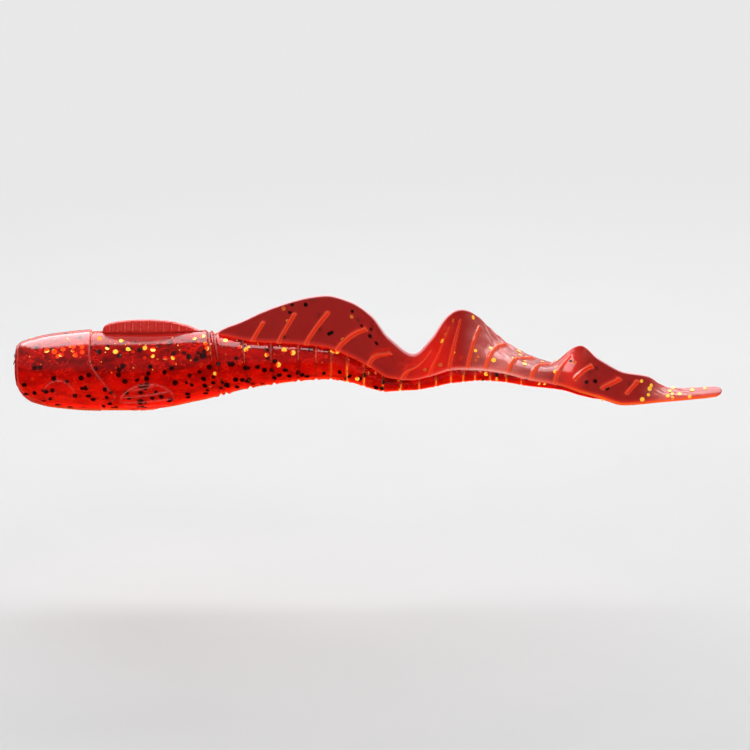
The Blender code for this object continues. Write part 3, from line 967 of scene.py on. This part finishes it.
def core_material():
    """The depth of the plastic: painted shade above, painted glow towards the belly, cloudy streaks.
    """
    n = Nodes("red_core")
    cloud = n.noise(210, 4.0, (0.4, 1.0, 1.0))
    patch = n.ramp(n.noise(620, 2.0, (0.5, 1.0, 1.0)), ((0.42, (0, 0, 0)), (0.66, (1, 1, 1))))
    # The cloudy noise and the brighter patches move where the painted shade and glow fall.
    up = n.math("ADD", n.field("up"), n.math("MULTIPLY", n.math("SUBTRACT", cloud, 0.5), 1.3))
    up = n.math("SUBTRACT", up, n.math("MULTIPLY", patch, 0.30))
    place = n.math("ADD", n.math("MULTIPLY", up, 0.5), 0.5)
    # Painted shade and glow: dark red on top, bright orange-red towards the belly.
    colour = n.ramp(place, (
        (0.0, (1.0, 0.13, 0.02)), (0.14, (1.0, 0.06, 0.010)), (0.34, (0.86, 0.025, 0.005)),
        (0.55, (0.62, 0.012, 0.003)), (0.72, (0.36, 0.006, 0.002)), (0.88, (0.11, 0.003, 0.002)),
    ))
    colour = n.mix(n.math("MULTIPLY", patch, 0.35), colour, (1.0, 0.06, 0.010))
    mottle = n.ramp(n.noise(780, 3.0, (0.45, 1.0, 1.0)), ((0.44, (0, 0, 0)), (0.62, (1, 1, 1))))
    colour = n.mix(n.math("MULTIPLY", mottle, 0.45), colour, (0.36, 0.005, 0.002))
    # Painted light: thin bright streaks in the plastic, which also glow.
    ridge = n.math("ABSOLUTE", n.math("SUBTRACT", n.noise(900, 4.0, (0.7, 1.0, 1.0)), 0.5))
    light_streak = n.ramp(ridge, ((0.0, (1, 1, 1)), (0.045, (0, 0, 0))))
    light_streak_patch = n.ramp(n.noise(330, 2.0), ((0.44, (0, 0, 0)), (0.58, (1, 1, 1))))
    light_streak = n.math("MULTIPLY", light_streak, light_streak_patch)
    colour = n.mix(n.math("MULTIPLY", light_streak, 0.8), colour, (1.0, 0.12, 0.04))
    # Painted glow, strongest towards the belly.
    glow = n.ramp(place, (
        (0.0, (0.24, 0.24, 0.24)), (0.30, (0.10, 0.10, 0.10)), (0.55, (0.02, 0.02, 0.02)),
        (0.75, (0.0, 0.0, 0.0)),
    ))
    normal = n.bump(n.noise(600, 3.0), 0.4, 0.0003)
    strength = n.math("ADD", glow, n.math("MULTIPLY", light_streak, 0.12))
    surface = n.shader(
        "ShaderNodeBsdfPrincipled", Base_Color=colour, Roughness=0.5, Normal=normal,
        Emission_Color=colour, Emission_Strength=strength)
    return n.done(surface)


def ribbon_material():
    """Thin membrane: muted see-through red, brighter rays, a painted pale pink edge highlight and
    painted glow.
    """
    n = Nodes("red_ribbon")
    grain = n.noise(3600, 2.0)
    lumps = n.noise(500, 2.0)
    normal = n.bump(n.math("ADD", lumps, n.math("MULTIPLY", grain, 0.3)), 0.2, 0.0001)
    ray, rim, root, tail = n.field("ray"), n.field("rim"), n.field("root"), n.field("tail")
    film = n.mix(n.noise(180, 2.0), (0.32, 0.046, 0.038), (0.41, 0.062, 0.050))
    streak = n.ramp(n.noise(420, 4.0, (0.5, 1.0, 1.4)), ((0.40, (0, 0, 0)), (0.68, (1, 1, 1))))
    # Painted glow: saturated orange-red on two flanks.
    film = n.mix(n.math("MULTIPLY", n.field("painted_warm_glow"), 0.8), film, (1.0, 0.040, 0.014))
    # Painted highlight: a mottled pale pink sheen on the second fold's up-facing flank.
    cloudy = n.math("ADD", 0.50, n.math("MULTIPLY", streak, 0.55))
    haze = n.math("MULTIPLY", n.field("pale"), cloudy)
    film = n.mix(haze, film, (1.0, 0.52, 0.46))
    # Painted highlight: the pale pink sheen of the tip.
    painted_tip_sheen = n.mix(streak, (0.72, 0.22, 0.19), (0.94, 0.54, 0.48))
    film = n.mix(n.math("MULTIPLY", tail, 0.85), film, painted_tip_sheen)
    painted_hem_glow = n.field("painted_hem_glow")
    # The rays and root are deeper orange-red, painted brighter under that sheen.
    strand = n.mix(n.field("pale"), (0.90, 0.045, 0.008), (1.0, 0.14, 0.04))
    colour = n.mix(n.math("MAXIMUM", ray, n.math("MULTIPLY", root, 0.9)), film, strand)
    # Painted highlights round the rays.
    colour = n.mix(n.math("MULTIPLY", n.field("ray_edge_highlight"), 0.7), colour, (1.0, 0.22, 0.10))
    # Painted highlight: a pale glint along the foot.
    colour = n.mix(n.field("foot"), colour, (1.0, 0.62, 0.55))
    # Painted glow: orange along the tail's lower hem.
    colour = n.mix(n.math("MULTIPLY", painted_hem_glow, 0.9), colour, (1.0, 0.20, 0.03))
    # Painted highlight: pale pink along the rim.
    colour = n.mix(n.math("MULTIPLY", rim, 0.95), colour, (1.0, 0.50, 0.53))
    tint = n.mix(ray, (0.80, 0.10, 0.10), (0.95, 0.10, 0.03))
    clear = n.shader("ShaderNodeBsdfTransparent", Color=tint)
    solid = n.shader("ShaderNodeBsdfDiffuse", Color=colour, Normal=normal)
    through = n.shader("ShaderNodeBsdfTranslucent", Color=colour, Normal=normal)
    # Painted glow: rays, foot, flanks, root, hem and rim give off light of their own.
    lit = n.math("MAXIMUM", ray, n.math("MAXIMUM", n.field("foot"), n.field("painted_warm_glow")))
    lit = n.math("MULTIPLY", lit, 0.15)
    lit = n.math("MAXIMUM", lit, n.math("MULTIPLY", root, 0.36))
    lit = n.math("MAXIMUM", lit, n.math("MULTIPLY", painted_hem_glow, 0.34))
    lit = n.math("MAXIMUM", lit, n.math("MULTIPLY", rim, 0.26))
    glow = n.shader("ShaderNodeEmission", Color=colour, Strength=lit)
    film_shader = n.sum_shader(n.mix_shader(0.35, solid, through), glow)
    dense = n.math("MAXIMUM", ray, n.math("MAXIMUM", rim, root))
    share = n.math("ADD", 0.52, n.math("MULTIPLY", dense, 0.33))
    inside = n.mix_shader(share, clear, film_shader)
    return n.done(clear_coat(n, inside, normal, 0.12))


def fin_material():
    """The dorsal fin: a matt red sheet with painted pale dotted highlights on its ray lines and rim,
    dark along its foot.
    """
    n = Nodes("red_fin")
    normal = n.bump(n.noise(2400, 2.0), 0.3, 0.00008)
    # Painted highlights: pale dots along the ray lines and the rim.
    dots = n.ramp(n.noise(1900, 1.0), ((0.40, (0.15, 0.15, 0.15)), (0.62, (1.0, 1.0, 1.0))))
    light = n.math("MULTIPLY", n.math("MAXIMUM", n.field("ray"), n.field("rim")), dots)
    colour = n.mix(n.noise(300, 2.0), (0.72, 0.018, 0.010), (0.95, 0.030, 0.016))
    colour = n.mix(n.math("MULTIPLY", light, 0.8), colour, (1.0, 0.30, 0.26))
    colour = n.mix(n.math("MULTIPLY", n.field("seam"), 0.85), colour, (0.10, 0.003, 0.002))
    clear = n.shader("ShaderNodeBsdfTransparent", Color=(0.9, 0.10, 0.08))
    solid = n.shader("ShaderNodeBsdfDiffuse", Color=colour, Normal=normal)
    inside = n.mix_shader(0.75, clear, solid)
    return n.done(clear_coat(n, inside, normal, 0.22))


def flake_material(name, dark, bright, roughness, glow=0.0):
    """A glitter flake: two shades of its colour, and a little painted glow for the light it sends
    back.
    """
    n = Nodes(name)
    colour = n.mix(n.noise(1500, 1.0), dark, bright)
    surface = n.shader(
        "ShaderNodeBsdfPrincipled", Base_Color=colour, Metallic=0.1, Roughness=roughness,
        Emission_Color=colour, Emission_Strength=glow)
    return n.done(surface)


def flake_materials():
    """Black, gold and deep copper, in the order of their numbers in scatter_all."""
    return [
        flake_material("black_flake", (0.003, 0.001, 0.001), (0.014, 0.004, 0.003), 0.6),
        # Gold and copper flakes get painted glow.
        flake_material("gold_flake", (1.0, 0.42, 0.02), (1.0, 0.68, 0.08), 0.3, 0.45),
        flake_material("copper_flake", (0.6, 0.06, 0.008), (1.0, 0.26, 0.03), 0.35, 0.12),
    ]


# ---------------------------------------------------------------- stage

def floor_material():
    """Matt and pale near the worm. The camera sees it evenly lit further away."""
    n = Nodes("pale_floor")
    shade = n.mix(n.noise(30, 2.0), (0.45, 0.45, 0.455), (0.48, 0.48, 0.48))
    near = n.shader("ShaderNodeBsdfPrincipled", Base_Color=shade, Roughness=0.7)
    far = n.shader("ShaderNodeEmission", Color=PALE, Strength=1.0)
    away = n.add("ShaderNodeVectorMath", operation="DISTANCE")
    n.feed(away.inputs[0], n.add("ShaderNodeTexCoord").outputs["Object"])
    away.inputs[1].default_value = (TIP_END * MM / 2, 0.0, 0.0)
    share = n.ramp(away.outputs["Value"], ((0.10, (0, 0, 0)), (0.42, (1, 1, 1))))
    seen = n.add("ShaderNodeLightPath").outputs["Is Camera Ray"]
    return n.done(n.mix_shader(n.math("MULTIPLY", share, seen), near, far))


def make_stage(floor_z):
    """A pale sweep: a floor that curves up into a backdrop."""
    sweep_y, sweep_radius, steps = 900.0, 600.0, 12
    profile = [(-1500.0, 0.0), (sweep_y, 0.0)]
    for k in range(1, steps + 1):
        angle = math.radians(90 * k / steps)
        y = sweep_y + sweep_radius * math.sin(angle)
        profile.append((y, sweep_radius * (1 - math.cos(angle))))
    profile.append((sweep_y + sweep_radius, 2500.0))
    points, faces = [], []
    for y, z in profile:
        points += [(-2500.0, y, z + floor_z), (2600.0, y, z + floor_z)]
    for k in range(len(profile) - 1):
        faces.append((2 * k, 2 * k + 1, 2 * k + 3, 2 * k + 2))
    floor = make_mesh("floor", np.array(points), faces)
    floor.data.materials.append(floor_material())
    floor.visible_glossy = False


def add_area(name, offset, middle, size, power, diffuse=True, glossy=True):
    """A rectangular lamp that faces the worm's middle. size is its width and height."""
    light = bpy.data.lights.new(name, "AREA")
    light.shape = "RECTANGLE"
    light.size, light.size_y = size
    light.energy = power
    item = bpy.data.objects.new(name, light)
    bpy.context.scene.collection.objects.link(item)
    item.location = middle + Vector(offset)
    item.rotation_euler = (middle - item.location).to_track_quat("-Z", "Y").to_euler()
    item.visible_camera = False
    item.visible_diffuse = diffuse
    item.visible_glossy = glossy


def make_world():
    """Soft light from above the horizon and little from below it. The camera sees it pale."""
    world = bpy.data.worlds.new("studio")
    world.use_nodes = True
    tree = world.node_tree
    direction = tree.nodes.new("ShaderNodeTexCoord")
    split = tree.nodes.new("ShaderNodeSeparateXYZ")
    ramp = tree.nodes.new("ShaderNodeValToRGB")
    ramp.color_ramp.elements[0].color = (0.10, 0.10, 0.10, 1.0)
    ramp.color_ramp.elements[1].color = (1.0, 1.0, 1.0, 1.0)
    ramp.color_ramp.elements[1].position = 0.35
    tree.links.new(direction.outputs["Generated"], split.inputs[0])
    tree.links.new(split.outputs["Z"], ramp.inputs["Fac"])
    tree.links.new(ramp.outputs["Color"], tree.nodes["Background"].inputs["Color"])
    tree.nodes["Background"].inputs["Strength"].default_value = 0.20
    pale = tree.nodes.new("ShaderNodeBackground")
    pale.inputs["Color"].default_value = (*PALE, 1.0)
    seen = tree.nodes.new("ShaderNodeLightPath")
    either = tree.nodes.new("ShaderNodeMixShader")
    tree.links.new(seen.outputs["Is Camera Ray"], either.inputs[0])
    tree.links.new(tree.nodes["Background"].outputs[0], either.inputs[1])
    tree.links.new(pale.outputs[0], either.inputs[2])
    tree.links.new(either.outputs[0], tree.nodes["World Output"].inputs["Surface"])
    bpy.context.scene.world = world


def make_lights(middle):
    """Two softboxes above give the band of shine, stronger at the head, and a low panel behind
    gives the thin one on the ridge. The fills only soften the shadows.
    """
    add_area("overhead_box", (0.0, 0.21, 0.40), middle, (0.62, 0.56), 4.2)
    add_area("overhead_shine", (-0.06, 0.21, 0.41), middle, (0.50, 0.56), 1.6, diffuse=False)
    add_area("ridge_panel", (0.0, 0.50, 0.13), middle, (0.90, 0.20), 0.6, diffuse=False)
    add_area("front_fill", (-0.25, -0.7, 0.35), middle, (0.5, 0.5), 2.4, glossy=False)
    add_area("rear_fill", (0.25, 0.7, 0.35), middle, (0.5, 0.5), 1.6, glossy=False)


def make_camera(middle):
    """A side view from the worm's left and a little above it."""
    elevation = math.radians(CAMERA_ELEVATION)
    back = Vector((0.0, -math.cos(elevation), math.sin(elevation)))
    camera = bpy.data.cameras.new("camera")
    camera.sensor_width = SENSOR
    camera.lens = SENSOR * CAMERA_DISTANCE / VIEW_WIDTH
    item = bpy.data.objects.new("camera", camera)
    bpy.context.scene.collection.objects.link(item)
    item.location = middle + back * CAMERA_DISTANCE
    item.rotation_euler = (-back).to_track_quat("-Z", "Y").to_euler()
    bpy.context.scene.camera = item


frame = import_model()
worm_lengths = lengths_of(chain_of(frame["joints"]))
make_skin(worm_lengths, skin_material())
make_core(worm_lengths, core_material())
make_ribbon(worm_lengths, ribbon_material())
make_dorsal_fin(fin_material())
make_glitter(worm_lengths, flake_materials())

low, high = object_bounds()
make_stage(low.z / MM - TAIL_REACH)
centre = Vector(((low.x + high.x) / 2 + VIEW_SHIFT, 0.0, VIEW_Z))
make_world()
make_lights(centre)
make_camera(centre)
bpy.context.scene.view_settings.view_transform = "Standard"
bpy.context.scene.cycles.use_denoising = True
